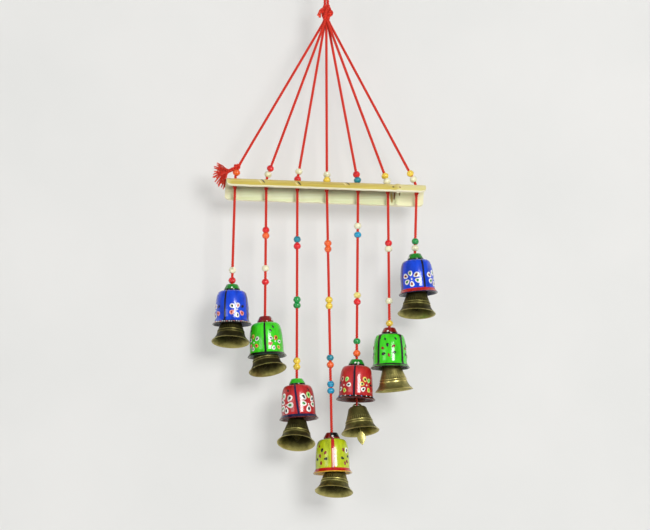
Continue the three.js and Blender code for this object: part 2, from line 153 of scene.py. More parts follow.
def soft_lamp(name, place, width, height, power):
    lamp = bpy.data.lights.new(name, "AREA")
    lamp.shape = "RECTANGLE"
    lamp.size = width
    lamp.size_y = height
    lamp.energy = power
    stand = put(name, lamp)
    stand.location = place
    stand.rotation_euler = (AIM - Vector(place)).to_track_quat("-Z", "Y").to_euler()


plaster = pale_plaster()
upright = Matrix.Rotation(pi / 2, 4, "X")
studio_sheet("floor", FLOOR_REACH, Matrix.Translation(FLOOR_AT))
studio_sheet("wall", WALL_REACH, Matrix.Translation((0, WALL_Y, 0)) @ upright)
soft_lamp("key_lamp", (1.05, -2.65, 0.12), 0.9, 1, 58)
soft_lamp("fill_lamp", (-1.9, -2.2, -0.3), 1.2, 1.2, 13)

world = bpy.data.worlds.new("studio")
world.use_nodes = True
scene.world = world
sky = world.node_tree
ray = node(sky, "LightPath", {}).node.outputs
seen = {0: ray["Is Camera Ray"], 1: ray["Is Transmission Ray"]}
seen = node(sky, "Math", seen, operation="MAXIMUM")
ambient = node(sky, "Background", {"Color": (1, 1, 1, 1), "Strength": AMBIENT})
pale = node(sky, "Background", {"Color": tint(*PALE), "Strength": 1})
room = node(sky, "MixShader", {0: seen, 1: ambient, 2: pale})
fill(sky.nodes["World Output"], {"Surface": room})

camera = put("camera", bpy.data.cameras.new("camera"))
camera.data.sensor_width = SENSOR_WIDTH
camera.data.lens = SENSOR_WIDTH * CAMERA_AWAY / PICTURE_WIDTH
camera.location = AIM - CAMERA_AWAY * Vector((0, cos(LOOK_UP), sin(LOOK_UP)))
camera.rotation_euler = (pi / 2 + LOOK_UP, 0, 0)
scene.camera = camera
scene.view_settings.view_transform = "Standard"


# Hanging loop: one red cotton cord, up from the gathering knot, over the nail and back down.
# Like every cord here it is three strands laid up together. Its foot is tied into the knot.
MM = 0.001
CORD_D = 2.6
LAID_D = 2.85  # over the crests of its three strands
CORD_PITCH = 7.2
LOBE = 0.1  # how deep the strands part, as a share of half the cord
LOOP_TOP = 1.3
LOOP_POINTS = 37
LOOP_SIDE = [(1.45, -29.5), (1.45, -25.5), (1.55, -19.4), (4.1, -9.7), (5.5, -4.2), (3.89, -0.31)]


def up(height):
    return Vector((0, 0, height))


def run_along(line):
    """How far along a line each of its points is."""
    run = [0]
    for start, stop in zip(line, line[1:]):
        run.append(run[-1] + (stop - start).length)
    return run


def smooth_line(points, count):
    """Evenly spaced points on a smooth line through a few points."""
    ahead = [points[1] - points[0]]
    ahead += [after - before for before, after in zip(points, points[2:])]
    ahead.append(points[-1] - points[-2])
    fine = []
    for start, stop, leave, arrive in zip(points, points[1:], ahead, ahead[1:]):
        pull = (stop - start).length / 3
        handles = start + leave.normalized() * pull, stop - arrive.normalized() * pull
        fine += interpolate_bezier(start, *handles, stop, 17)[:-1]
    fine.append(points[-1])
    run = run_along(fine)
    line = []
    for n in range(count):
        goal = run[-1] * n / (count - 1)
        k = min(max(bisect.bisect_right(run, goal) - 1, 0), len(run) - 2)
        line.append(fine[k].lerp(fine[k + 1], (goal - run[k]) / (run[k + 1] - run[k])))
    return line


def bend_to(verts, line):
    """Takes what stands along Z onto a line."""
    run = run_along(line)
    ways = [(stop - start).normalized() for start, stop in zip(line, line[1:])]
    turns = [up(1).rotation_difference(ways[0])]
    for before, after in zip(ways, ways[1:]):
        turns.append(before.rotation_difference(after) @ turns[-1])
    corners = [turns[0]] + [a.slerp(b, 0.5) for a, b in zip(turns, turns[1:])] + [turns[-1]]
    for vert in verts:
        k = min(max(bisect.bisect_right(run, vert.co.z) - 1, 0), len(ways) - 1)
        share = min(max((vert.co.z - run[k]) / (run[k + 1] - run[k]), 0), 1)
        turn = corners[k].slerp(corners[k + 1], share)
        vert.co = line[k].lerp(line[k + 1], share) + turn @ Vector((vert.co.x, vert.co.y, 0))


def lay_cord(bm, line, thick, sides=12, strands=3, pitch=CORD_PITCH, step=0.6, fray=0):
    """A laid cord: a lobed section, screwed out straight along Z, closed, and bent to the line."""
    layers = bm.verts.layers.float
    crest_lit, frayed = [layers.get(name) or layers.new(name) for name in ("crest_lit", "frayed")]
    before = len(bm.verts)
    length = run_along(line)[-1]
    steps = max(4, round(length / step))
    ring = bmesh.ops.create_circle(bm, segments=sides, radius=thick / 2)["verts"]
    for vert in ring:
        vert.co *= 1 - LOBE + LOBE * cos(strands * atan2(vert.co.y, vert.co.x))
    rim = dict.fromkeys(edge for vert in ring for edge in vert.link_edges)
    screw = {"axis": (0, 0, 1), "angle": 2 * pi * length / pitch, "dvec": (0, 0, length / steps)}
    bmesh.ops.spin(bm, geom=[*ring, *rim], cent=(0, 0, 0), steps=steps, **screw)
    fresh = list(bm.verts)[before:]
    ends = [edge for vert in fresh for edge in vert.link_edges if edge.is_boundary]
    bmesh.ops.holes_fill(bm, edges=list(dict.fromkeys(ends)))
    for vert in fresh:
        # crest_lit is 0 in the groove between strands and 1 on a crest: the cotton paints grooves
        # darker, as shade, and crests brighter, as light.
        vert[crest_lit] = (vert.co.xy.length / (thick / 2) - 1 + 2 * LOBE) / (2 * LOBE)
        vert[frayed] = max(0, 1 - (length - vert.co.z) / fray) if fray else 0
    bend_to(fresh, line)


def add_part(tree, value, part, rest):
    return node(tree, "Math", {0: value, 1: part, 2: rest}, operation="MULTIPLY_ADD")


def blend(tree, share, first, second):
    return node(tree, "Mix", {0: share, 6: first, 7: second}, 2, data_type="RGBA")


def bump(tree, height, strength, distance):
    return node(tree, "Bump", {"Height": height, "Strength": strength, "Distance": distance})


def red_cotton():
    finish, tree, skin = bare_finish("red_cotton")
    crest_lit = node(tree, "Attribute", {}, "Fac", attribute_name="crest_lit")
    frayed = node(tree, "Attribute", {}, "Fac", attribute_name="frayed")
    fuzz = speckle(tree, 1900, 4)
    # Painted shade and light: darker red in the grooves between strands, brighter red on the
    # crests, with fuzz on top.
    shaded_to_lit_reds = [(0.25, 0.36, 0.02, 0.02), (0.6, 0.74, 0.08, 0.05), (1, 0.94, 0.24, 0.15)]
    red = ramp(tree, add_part(tree, fuzz, 0.55, crest_lit), shaded_to_lit_reds)
    fill(skin, {
        "Base Color": blend(tree, frayed, red, tint(0.94, 0.36, 0.24)),
        "Normal": bump(tree, fuzz, 0.5, 0.0002),
        "Roughness": 0.7, "Specular IOR Level": 0.3,
        "Sheen Weight": 0.25, "Sheen Roughness": 0.45, "Sheen Tint": tint(1, 0.62, 0.55),
    })
    return finish


def piece(bm, name, finishes, body, stands_for=(), place=Matrix(), sharp=42):
    """A finished piece, drawn in millimetres, put in place and riding on a body of the frame."""
    bmesh.ops.transform(bm, matrix=place, verts=bm.verts)
    bmesh.ops.scale(bm, vec=(MM, MM, MM), verts=bm.verts)
    bmesh.ops.recalc_face_normals(bm, faces=bm.faces)
    mesh = mesh_of(bm, name)
    for finish in finishes:
        mesh.materials.append(finish)
    mesh.shade_smooth()
    mesh.set_sharp_from_angle(angle=radians(sharp))
    made = put(name, mesh)
    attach(made, body)
    if stands_for:
        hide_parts(*stands_for)
    return made


def free_cord(name, line, body, stands_for):
    """A finished cord of red cotton, laid along a line and riding on one body of the frame."""
    bm = bmesh.new()
    lay_cord(bm, line, LAID_D)
    made = piece(bm, name, [cotton], body, [stands_for])


cotton = red_cotton()
loop_side = [Vector((x, 0, z)) for x, z in LOOP_SIDE]
loop_back = [Vector((-p.x, 0, p.z)) for p in reversed(loop_side)]
loop_line = smooth_line([*loop_side, up(LOOP_TOP), *loop_back], LOOP_POINTS)
free_cord("loop_cord", loop_line, "hanging_loop", "hanging_loop")


# Gathering knot: the seven cords are wound round each other into one lump under the loop.
# It is fuller on its right. The cut ends stick out at its left, and their loose fibres are paler.
KNOT_MIDDLE = (0, 0, -35.6)
KNOT_WINDING = (240, 3, 4, 2.5, 1.4, 6.4)  # points, turns, waves, ring, swell and half its height
KNOT_CORD_D = 2.8
KNOT_CORE = (-28, -36, -44.4)
KNOT_CORE_D = 5.4
KNOT_BULGE = (3.9, -1.4, -36.8)
BULGE_WINDING = (90, 2, 3, 1.2, 0.6, 2.2)
KNOT_ENDS = [
    [(-2.2, -2.6, -32.4), (-5.6, -3.6, -34.2), (-7, -3.4, -37.6)],
    [(-2.6, -1.2, -35.2), (-6.2, -2.2, -36.4), (-8.4, -2.4, -39.8)],
    [(-2.4, 1.4, -32), (-5.4, 2, -33.4), (-7.6, 2.2, -37)],
    [(-2.4, 0.4, -34.4), (-6, 0.2, -35.6), (-6.6, -0.4, -41)],
]


def winding(centre, count, turns, waves, ring, swell, half, spin=0):
    """A knot's line: round an upright axis, in and out and up and down as it goes."""
    line = []
    for n in range(count + 1):
        share = 2 * pi * n / count
        reach = ring + swell * cos(waves * share) + 0.1 * ring * sin(7 * share + 1)
        lift = half * (sin(waves * share) + 0.08 * sin(5 * share))
        way = turns * share + spin
        line.append(Vector(centre) + Vector((reach * cos(way), reach * sin(way), lift)))
    return line


bm = bmesh.new()
lay_cord(bm, winding(KNOT_MIDDLE, *KNOT_WINDING), KNOT_CORD_D)
lay_cord(bm, winding(KNOT_BULGE, *BULGE_WINDING), KNOT_CORD_D)
core = smooth_line([up(z) for z in KNOT_CORE], 12)
lay_cord(bm, core, KNOT_CORE_D, sides=24, strands=7, pitch=34)
for end in KNOT_ENDS:
    lay_cord(bm, smooth_line([Vector(point) for point in end], 12), LAID_D, fray=2)
piece(bm, "gathering_knot_cord", [cotton], "hanger", ["gathering_knot"])


# Stays: seven cords that fan out from knot to bar. Each runs through its hole in the bamboo,
# and a knot under the hole carries the bar. The first is pulled aside by the tassel tied on it.
NECK_Z = -46.6
NECK_PLACES = [(-3.1, 0), (-1.55, -2.685), (-1.55, 2.685), (0, 0),
               (1.55, 2.685), (1.55, -2.685), (3.1, 0)]
NECK_GRIP = 0.45  # how much closer the cords lie inside the knot
STRING_DROP = 10  # from the middle of a hole to where its string starts
HOLE_TOP = 3.3  # where a stay turns down into its hole, above the middle of the wall
KNOT_DROP = 5.2
TASSEL_PLACE = (3.2, 0, 14.7)  # from the first hole
LED_ABOVE = (9, 4)  # a stay is led straight this far above its hole
LED_TASSEL = (60, 5)  # and above the tassel
STAY_POINTS = 39
NUMBERS = range(1, 8)

pivots = {joint["name"]: Vector(joint["pos_m"]) / MM for joint in frame["joints"]}
holes = {i: pivots[f"string_{i}_swing"] + up(STRING_DROP) for i in NUMBERS}
knees = {i: holes[i] + up(HOLE_TOP) for i in NUMBERS}
neck = {i: Vector((x, y, NECK_Z)) for i, (x, y) in zip(NUMBERS, NECK_PLACES)}
stay_from = dict(neck)
stay_from[1] = holes[1] + Vector(TASSEL_PLACE)
for i in NUMBERS:
    inside = Vector((neck[i].x * NECK_GRIP, neck[i].y * NECK_GRIP, NECK_Z + 4))
    route = [inside, neck[i]]
    if i == 1:
        slope = (neck[i] - stay_from[i]).normalized()
        route += [stay_from[i] + rise * slope for rise in LED_TASSEL]
    back = (stay_from[i] - knees[i]).normalized()
    route += [knees[i] + rise * back for rise in LED_ABOVE]
    route += [holes[i] + up(0.6), holes[i] - up(KNOT_DROP)]
    stay_line = smooth_line(route, STAY_POINTS)
    free_cord(f"stay_cord_{i}", stay_line, "hanger", f"stay_{i}")


# Strings: each cord goes on below the bar's knot, through its beads and into the cap of its cup.
# It hangs straight under the weight of cup and bell.
STRING_UP = 2.6  # tucked into the knot under the bar
STRING_DOWN = 2.4  # tucked into the mouth of the cap's bore
STRING_POINTS = 33
for i in NUMBERS:
    top = pivots[f"string_{i}_swing"]
    foot = pivots[f"cup_{i}_rock"]
    fall = (foot - top).normalized()
    route = [top - STRING_UP * fall, top.lerp(foot, 0.5), foot + STRING_DOWN * fall]
    string_line = smooth_line(route, STRING_POINTS)
    free_cord(f"string_cord_{i}", string_line, f"string_{i}", f"string_{i}")


# Stop knots: an overhand knot in each cord, drawn up tight against the inner face of the bamboo.
# No two are turned the same way.
STOP_WINDING = (90, 2, 3, 0.8, 0.4, 1.9)
STOP_CORD_D = 2.2
STOP_TURN = 0.9
for i in NUMBERS:
    centre = holes[i] - up(KNOT_DROP)
    bm = bmesh.new()
    lay_cord(bm, winding(centre, *STOP_WINDING, spin=STOP_TURN * i), STOP_CORD_D)
    piece(bm, f"stop_knot_{i}", [cotton], "hanger")


# Tassel: the spare end of the cord is knotted round the first stay above its bead,
# and combed out into loose strands that stand out past the end of the bar.
STRAND_D = 1.3
STRAND_COUNT = 40
STRAND_REACH = 13.5
REACH_MORE = 5.5  # for the lowest strands
SPREAD = 3.6
FAN_FROM = radians(143)
FAN_TO = radians(258)
TIE_OFFSET = (-1.2, 0, 0)
TIE_WINDING = (90, 2, 3, 1.7, 0.7, 2)
TIE_D = 2.4
THROAT = (-8.4, 0, -4.2)
draw = random.Random(11)
bm = bmesh.new()
tie = stay_from[1] + Vector(TIE_OFFSET)
lay_cord(bm, winding(tie, *TIE_WINDING), TIE_D)
for n in range(STRAND_COUNT):
    share = (n + draw.random()) / STRAND_COUNT
    angle = FAN_FROM + (FAN_TO - FAN_FROM) * share
    reach = (STRAND_REACH + REACH_MORE * share) * draw.uniform(0.75, 1.05)
    depth = draw.uniform(-SPREAD, SPREAD)
    spot = Vector((0, draw.uniform(-1.6, 1.6), draw.uniform(-1.4, 1.4)))
    start = tie + Vector((-0.6, 0, 0)) + spot * 0.8
    throat = tie + Vector(THROAT) + spot
    tip = throat + Vector((reach * cos(angle), depth, reach * sin(angle)))
    sag = Vector((-2 + 3 * abs(share - 0.5), depth * 0.2, draw.uniform(-0.6, 0.9)))
    line = smooth_line([start, throat, throat.lerp(tip, 0.5) + sag, tip], 14)
    lay_cord(bm, line, STRAND_D, sides=6, strands=2, pitch=5, step=1.1, fray=4)
piece(bm, "tassel_strands", [cotton], "hanger", ["tassel"])


# Bar: half of a bamboo culm, split along its length and laid open side down and forward.
# The skin is ochre and glossy, the split edges and the fibres inside are pale cream.
# One node, with the rest of its partition, is near the right end. Seven holes run along the middle.
CULM_R = 14.5
CULM_WALL = 2
MIDDLE_TURN = radians(67)
BAR_AT = (0, -5.275, -224.6)
BAR_SLOPE = radians(2.1)
END_CUT = tan(radians(5))
END_ROUND = 6
BAR_END = 8.6
NODE_FROM_END = 27.5
NODE_SWELL = 0.6
NODE_RIDGE = 2.2
HOLE_D = 4.8
DRILL_LENGTH = 9
ARC_STEPS = 40
LENGTH_STEPS = 210
SKIN_T = 0.4
EDGE_SHARE = 0.945  # how far round the skin goes before the knife has cut it away
EDGE_DRIFT = 0.03
END_TURN = 0.22
# The hollow is painted darker between these heights, as shade under the skin strip.
SHADE_FROM = 1.5  # heights in the culm between which its hollow darkens
SHADE_TO = 11.5
MARK_DEPTH = 2.5

bar_frame = Matrix.Translation(BAR_AT) @ Matrix.Rotation(BAR_SLOPE, 4, "Y")
hole_xs = [(bar_frame.inverted() @ holes[i]).x for i in NUMBERS]
bar_left = hole_xs[0] - BAR_END
bar_right = hole_xs[-1] + BAR_END
bar_node = bar_right - NODE_FROM_END
inner_r = CULM_R - CULM_WALL


def spread(tree, value, low, high, to_low=0, to_high=1, **settings):
    """A value's run from low to high, taken to another run."""
    runs = {"Value": value, "From Min": low, "From Max": high, "To Min": to_low, "To Max": to_high}
    return node(tree, "MapRange", runs, **settings)


def bamboo(name, colours, gloss, gloss_coat, streaks, end_colour, reach, marks=(), strip_shade=None):
    """A bamboo face: fibres along it, paler past the node and at the left end, with marks on it.
    Given a shade colour, the top of the hollow is painted darker with it, as shade under the skin
    strip.
    """
    finish, tree, skin = bare_finish(name)
    fibres = speckle(tree, 1, 6, streaks)
    patches = speckle(tree, 45, 2, (0.25, 1, 1))
    colour = ramp(tree, add_part(tree, patches, 0.5, fibres), colours)
    place = node(tree, "TexCoord", {}, "Object")
    culm = {"Vector": place, "Location": Vector(BAR_AT) * MM, "Rotation": (0, BAR_SLOPE, 0)}
    culm = node(tree, "Mapping", culm, vector_type="TEXTURE")
    along, _, rise = node(tree, "SeparateXYZ", {0: culm}).node.outputs
    # Painted shade: the top of the hollow darkens towards the shade colour.
    if strip_shade:
        deep = spread(tree, rise, SHADE_FROM * MM, SHADE_TO * MM, interpolation_type="SMOOTHSTEP")
        colour = blend(tree, deep, colour, strip_shade)
    for full, none in ((bar_node + 3, bar_node - 1), (bar_left + 1, bar_left + 6)):
        colour = blend(tree, spread(tree, along, none * MM, full * MM), colour, end_colour)
    for x0, turn0, x1, turn1, width, mark_colour in marks:
        start = on_bar(x0, turn0, reach)
        stop = on_bar(x1, turn1, reach)
        middle = 0.5 * (start + stop)
        run = (stop - start).normalized()
        out = (middle - bar_frame @ Vector((middle.x, 0, 0))).normalized()
        out = (out - run * out.dot(run)).normalized()
        turn = Matrix((run, out.cross(run), out)).transposed().to_euler()
        size = ((stop - start).length / 2 * MM, width * MM, MARK_DEPTH * MM)
        spot = {"Vector": place, "Location": middle * MM, "Rotation": tuple(turn), "Scale": size}
        spot = node(tree, "Mapping", spot, vector_type="TEXTURE")
        away = node(tree, "VectorMath", {0: spot}, "Value", operation="LENGTH")
        mark = spread(tree, add_part(tree, fibres, 0.5, away), 1.45, 1.05)
        colour = blend(tree, mark, colour, mark_colour)
    fill(skin, {
        "Base Color": colour,
        "Normal": bump(tree, fibres, 0.35, 0.0003),
        "Roughness": spread(tree, patches, 0, 1, gloss - 0.1, gloss + 0.12),
        "Coat Weight": gloss_coat, "Coat Roughness": 0.2,
    })
    return finish


def on_bar(x, turn, reach):
    turn = radians(turn)
    return bar_frame @ Vector((x, reach * cos(turn), reach * sin(turn)))


def bar_aside(turn):
    """How far round from the middle of the bar, to -1 and 1 at its split edges."""
    return ((turn - MIDDLE_TURN + pi) % (2 * pi) - pi) / (pi / 2)


def hump(away):
    return exp(-away ** 2)


def draw_out(bm, face, way):
    """Draws a face out into a solid."""
    grown = bmesh.ops.extrude_face_region(bm, geom=[face])["geom"]
    moved = [item for item in grown if isinstance(item, bmesh.types.BMVert)]
    bmesh.ops.translate(bm, vec=way, verts=moved)


bm = bmesh.new()
rim = []
for reach, way in ((CULM_R, 1), (inner_r, -1)):
    for n in range(ARC_STEPS + 1):
        turn = MIDDLE_TURN + way * pi * (n / ARC_STEPS - 0.5)
        rim.append(bm.verts.new((bar_left, reach * cos(turn), reach * sin(turn))))
section = bm.faces.new(rim)
draw_out(bm, section, (bar_right - bar_left, 0, 0))
lengthwise = [edge for edge in bm.edges if abs(edge.verts[0].co.x - edge.verts[1].co.x) > 1]
bmesh.ops.subdivide_edges(bm, edges=lengthwise, cuts=LENGTH_STEPS, use_grid_fill=True)
for face in bm.faces:
    reach = sum(vert.co.yz.length for vert in face.verts) / len(face.verts)
    middle = face.calc_center_median()
    cut = abs(bar_aside(atan2(middle.z, middle.y))) > EDGE_SHARE
    if reach < inner_r + SKIN_T:
        face.material_index = 2
    elif reach < CULM_R - SKIN_T or cut:
        face.material_index = 1
for vert in bm.verts:
    x = vert.co.x
    turn = atan2(vert.co.z, vert.co.y)
    reach = vert.co.yz.length
    along = x - bar_node
    edge = bar_aside(turn)
    drift = noise((x * 0.045, 3 * round(turn), 0)) + 0.5 * noise((x * 0.2, round(turn), 5))
    turn += EDGE_DRIFT * drift * copysign(edge ** 6, edge)
    near_end = max(0, min(x - bar_left, bar_right - x))
    if near_end < END_ROUND:
        turn -= END_TURN * edge * abs(edge) ** 3 * (1 - sqrt(1 - (1 - near_end / END_ROUND) ** 2))
    if reach > CULM_R - CULM_WALL / 2:
        reach += NODE_SWELL * hump(along / 2.4) - 0.35 * hump((along + 4) / 2)
        reach += 0.12 * noise((x * 0.06, turn * 3, 9))
    else:
        reach -= NODE_RIDGE * hump(along / 1.2) + 0.7 * hump(along / 4.5)
        reach += 0.15 * noise((x * 0.06, turn * 4, 2))
    y = reach * cos(turn)
    vert.co = (x - y * END_CUT, y, reach * sin(turn))

dark = tint(0.1, 0.06, 0.02)
flake = tint(0.95, 0.9, 0.66)
slits = [
    (-66.3, 100, -61.8, 142, 0.8, dark), (-69, 112, -64.5, 146, 0.6, flake),
    (-29.5, 119, -25.6, 147, 0.8, dark), (-31.5, 128, -28.5, 148, 0.6, flake),
    (18.4, 99, 23, 135, 0.8, dark), (15.8, 112, 20, 140, 0.6, flake),
    (bar_left + 2, 112, bar_left + 5, 114, 0.7, dark),
    (bar_node - 5, 132, bar_node - 3.6, 138, 1.2, tint(0.3, 0.24, 0.07)),
    (bar_node + 1.7, 136, bar_node + 3, 142, 0.9, tint(0.58, 0.32, 0.1)),
]
# Marks inside by the node: a brown stain, then two dark streaks either side of the partition's
# ridge that are painted shade.
stains_and_ridge_shade = [
    (bar_node - 6, 40, bar_node - 5, -12, 1.5, tint(0.66, 0.58, 0.3)),
    (bar_node - 2.4, 52, bar_node - 3, 4, 0.9, tint(0.5, 0.34, 0.17)),
    (bar_node + 2, 54, bar_node + 2.5, 24, 0.8, tint(0.55, 0.46, 0.24)),
]
ochres = [(0.35, 0.72, 0.61, 0.22), (0.75, 0.85, 0.77, 0.35), (1.05, 0.91, 0.85, 0.49)]
creams = [(0.35, 0.82, 0.84, 0.61), (0.75, 0.92, 0.95, 0.77), (1.05, 0.95, 0.98, 0.84)]
edges = [(0.35, 0.88, 0.85, 0.64), (0.75, 0.97, 0.95, 0.82), (1.05, 0.99, 0.98, 0.9)]
bar_finishes = [
    bamboo("bamboo_skin", ochres, 0.36, 0.35, (18, 500, 500), tint(0.9, 0.86, 0.57), CULM_R,
           slits),
    bamboo("bamboo_edge", edges, 0.6, 0, (30, 900, 900), tint(0.97, 0.95, 0.83), CULM_R),
    # Inside: cream fibres, with painted shade at the top of the hollow and beside the node's ridge.
    bamboo("bamboo_inside", creams, 0.6, 0.05, (14, 700, 700), tint(0.92, 0.92, 0.76), inner_r,
           stains_and_ridge_shade, strip_shade=tint(0.36, 0.26, 0.09)),
]
bar = piece(bm, "split_bamboo", bar_finishes, "hanger", ["bamboo_bar"], bar_frame)

bm = bmesh.new()
drill = {"segments": 28, "radius1": HOLE_D / 2 * MM, "radius2": HOLE_D / 2 * MM,
         "depth": DRILL_LENGTH * MM}
square = Matrix.Rotation(BAR_SLOPE, 4, "Y") @ Matrix.Rotation(MIDDLE_TURN - pi / 2, 4, "X")
for x in hole_xs:
    spot = on_bar(x, degrees(MIDDLE_TURN), CULM_R - CULM_WALL / 2) * MM
    bmesh.ops.create_cone(bm, cap_ends=True, matrix=Matrix.Translation(spot) @ square, **drill)
drills = put("drills", mesh_of(bm, "drills"))
drills.data.materials.append(bar_finishes[1])
drilling = bar.modifiers.new("drilling", "BOOLEAN")
drilling.operation = "DIFFERENCE"
drilling.object = drills
drilling.solver = "EXACT"
drilling.material_mode = "TRANSFER"
bar.data = bpy.data.meshes.new_from_object(bar.evaluated_get(bpy.context.evaluated_depsgraph_get()))
bar.modifiers.clear()
bpy.data.objects.remove(drills)


# Beads: turned wood, drilled and dipped in bright paint, in pairs or singly along each cord.
# Above the bar they sit on the stays and below it on the strings. No two are quite the same size.
BEAD_R = 3.7
BEAD_HALF = 2.9
BEAD_BORE = 1.35
BEAD_MOUTH = 2.1
BEAD_SHOULDER = (0.84, 0.6)  # shares of its radius and half its height
BEAD_UNEVEN = 0.012
BEAD_ROWS = 19
BEAD_SIDES = 32
BEAD_VARNISH = 0.16
BEAD_SHINE = 1.7
BEADS_ABOVE = {
    1: [(9.2, "orange")],
    2: [(8.6, "cream"), (15.1, "red")],
    3: [(4.6, "red"), (12.5, "cream")],
    4: [(4.6, "yellow"), (10.4, "cream")],
    5: [(5.8, "teal"), (11.8, "red")],
    6: [(5.8, "cream"), (11.7, "yellow")],
    7: [(9.5, "cream"), (16.2, "yellow")],
}
BEADS_BELOW = {
    1: [(80.2, "cream"), (90.5, "red")],
    2: [(38.2, "red"), (44, "orange"), (77.1, "cream"), (90.8, "red")],
    3: [(46.6, "teal"), (53.4, "red"), (107.5, "green"), (113.3, "green"),
        (169.2, "yellow"), (175.3, "yellow")],
    4: [(49.4, "orange"), (55.3, "orange"), (106.7, "yellow"), (112.9, "yellow"),
        (165.1, "teal"), (172.2, "orange"), (191.7, "blue"), (198.4, "blue")],
    5: [(30.8, "cream"), (39.7, "blue"), (100.9, "straw"), (107.6, "red"),
        (147.4, "green"), (159.5, "orange")],
    6: [(47.1, "red"), (53, "cream"), (105.6, "cream"), (128.2, "yellow")],
    7: [(44.4, "green"), (51.1, "cream")],
}
BEAD_PAINTS = {
    "red": ((0.9, 0.06, 0.1), "red"),
    "orange": ((0.98, 0.39, 0.12), "red"),
    "cream": ((0.93, 0.92, 0.78), "yellow"),
    "yellow": ((0.95, 0.81, 0.26), "yellow"),
    "straw": ((0.96, 0.9, 0.52), "yellow"),
    "teal": ((0, 0.52, 0.6), "blue"),
    "green": ((0, 0.58, 0.25), "green"),
    "blue": ((0, 0.6, 0.77), "blue"),
}


def spin_profile(bm, profile, sides, closed=True):
    """Turns a profile of (radius, height) points about Z."""
    points = [bm.verts.new((reach, 0, height)) for reach, height in profile]
    edges = [bm.edges.new(pair) for pair in zip(points, points[1:])]
    if closed:
        edges.append(bm.edges.new((points[-1], points[0])))
    turn = {"cent": (0, 0, 0), "axis": (0, 0, 1), "angle": 2 * pi, "steps": sides}
    bmesh.ops.spin(bm, geom=[*points, *edges], use_merge=True, **turn)
    bmesh.ops.remove_doubles(bm, verts=bm.verts, dist=1e-5)


def smooth_profile(points, count):
    line = smooth_line([Vector((reach, 0, height)) for reach, height in points], count)
    return [(point.x, point.z) for point in line]


def enamel(name, colour, varnish, shine, streaky=(1, 1, 1)):
    """Hand-brushed gloss paint on wood: a thin uneven coat, deeper in tone where it is thick."""
    finish, tree, skin = bare_finish(name)
    coat = speckle(tree, 240, 4, streaky)
    level = add_part(tree, speckle(tree, 1500, 2), 0.35, coat)
    deep = [c * 0.78 for c in colour]
    thin = [min(1, c * 1.04 + 0.035) for c in colour]
    fill(skin, {
        "Base Color": ramp(tree, level, [(0.42, *deep), (0.66, *colour), (0.92, *thin)]),
        "Normal": bump(tree, coat, 0.3, 0.0003),
        "Roughness": 0.35, "Specular IOR Level": 0.12, "Coat Weight": 1, "Coat IOR": shine,
        "Coat Roughness": spread(tree, coat, 0.3, 0.7, varnish - 0.03, varnish + 0.06),
    })
    return finish


def thread_bead(name, centre, way, paint, body):
    bm = bmesh.new()
    grow = draw.uniform(0.97, 1.04)
    half = BEAD_HALF * draw.uniform(0.97, 1.06)
    waist = BEAD_R * grow
    shoulder = (waist * BEAD_SHOULDER[0], half * BEAD_SHOULDER[1])
    upper = [(BEAD_BORE, half), (BEAD_MOUTH, half * 0.98), shoulder]
    lower = [(reach, -height) for reach, height in reversed(upper)]
    spin_profile(bm, smooth_profile([*upper, (waist, 0), *lower], BEAD_ROWS), BEAD_SIDES)
    for vert in bm.verts:
        vert.co *= 1 + BEAD_UNEVEN * noise(vert.co * 0.4 + centre)
    turn = up(1).rotation_difference(way).to_matrix().to_4x4()
    tip = Matrix.Rotation(draw.uniform(-0.06, 0.06), 4, "Y")
    place = Matrix.Translation(centre) @ turn @ tip
    piece(bm, name, [bead_finishes[paint]], body, place=place)


bead_finishes = {name: enamel(f"bead_{name}", colour, BEAD_VARNISH, BEAD_SHINE)
                 for name, (colour, slot) in BEAD_PAINTS.items()}
for i in NUMBERS:
    way = (stay_from[i] - knees[i]).normalized()
    for n, (rise, paint) in enumerate(BEADS_ABOVE[i], 1):
        centre = knees[i] + (rise - HOLE_TOP) * way
        thread_bead(f"bead_above_{i}_{n}", centre, way, paint, "hanger")
    top = pivots[f"string_{i}_swing"]
    fall = (pivots[f"cup_{i}_rock"] - top).normalized()
    for n, (down, paint) in enumerate(BEADS_BELOW[i], 1):
        thread_bead(f"bead_below_{i}_{n}", top + down * fall, fall, paint, f"string_{i}")


# Caps: a small turned cone of painted wood on the crown of each cup, drilled for the cord.
# A dark line is painted round most of their feet, and a white dot or two on the side.
CAP_TOP_R = 5.8
CAP_R = 8.1
CAP_H = 6
CAP_DOWN = 1.6  # from the end of the string
BORE_R = 1.6
BORE_MOUTH_R = 2.2
CAP_SIDES = 64
CAP_FOOT = 0.8  # share of its height where the straight foot starts
CAP_OUTLINE = [(BORE_R, -1.3), (BORE_MOUTH_R, 0), (CAP_TOP_R - 0.35, 0), (CAP_TOP_R, -0.3),
               (CAP_R - 0.05, -CAP_H * 0.79), (CAP_R, -CAP_H * 0.83), (CAP_R, 0.3 - CAP_H),
               (CAP_R - 0.3, -CAP_H), (BORE_R, -CAP_H)]
CAP_DOT = (2.1, 1.9)
CAP_DOT_T = 0.4
CAP_DOT_TURN = 0.4
DOT_DOWN = CAP_DOWN + CAP_H * 0.62
CUP_ROLL = {1: 0, 2: 3, 3: 3, 4: 1.5, 5: -1.5, 6: 1, 7: 4.5}
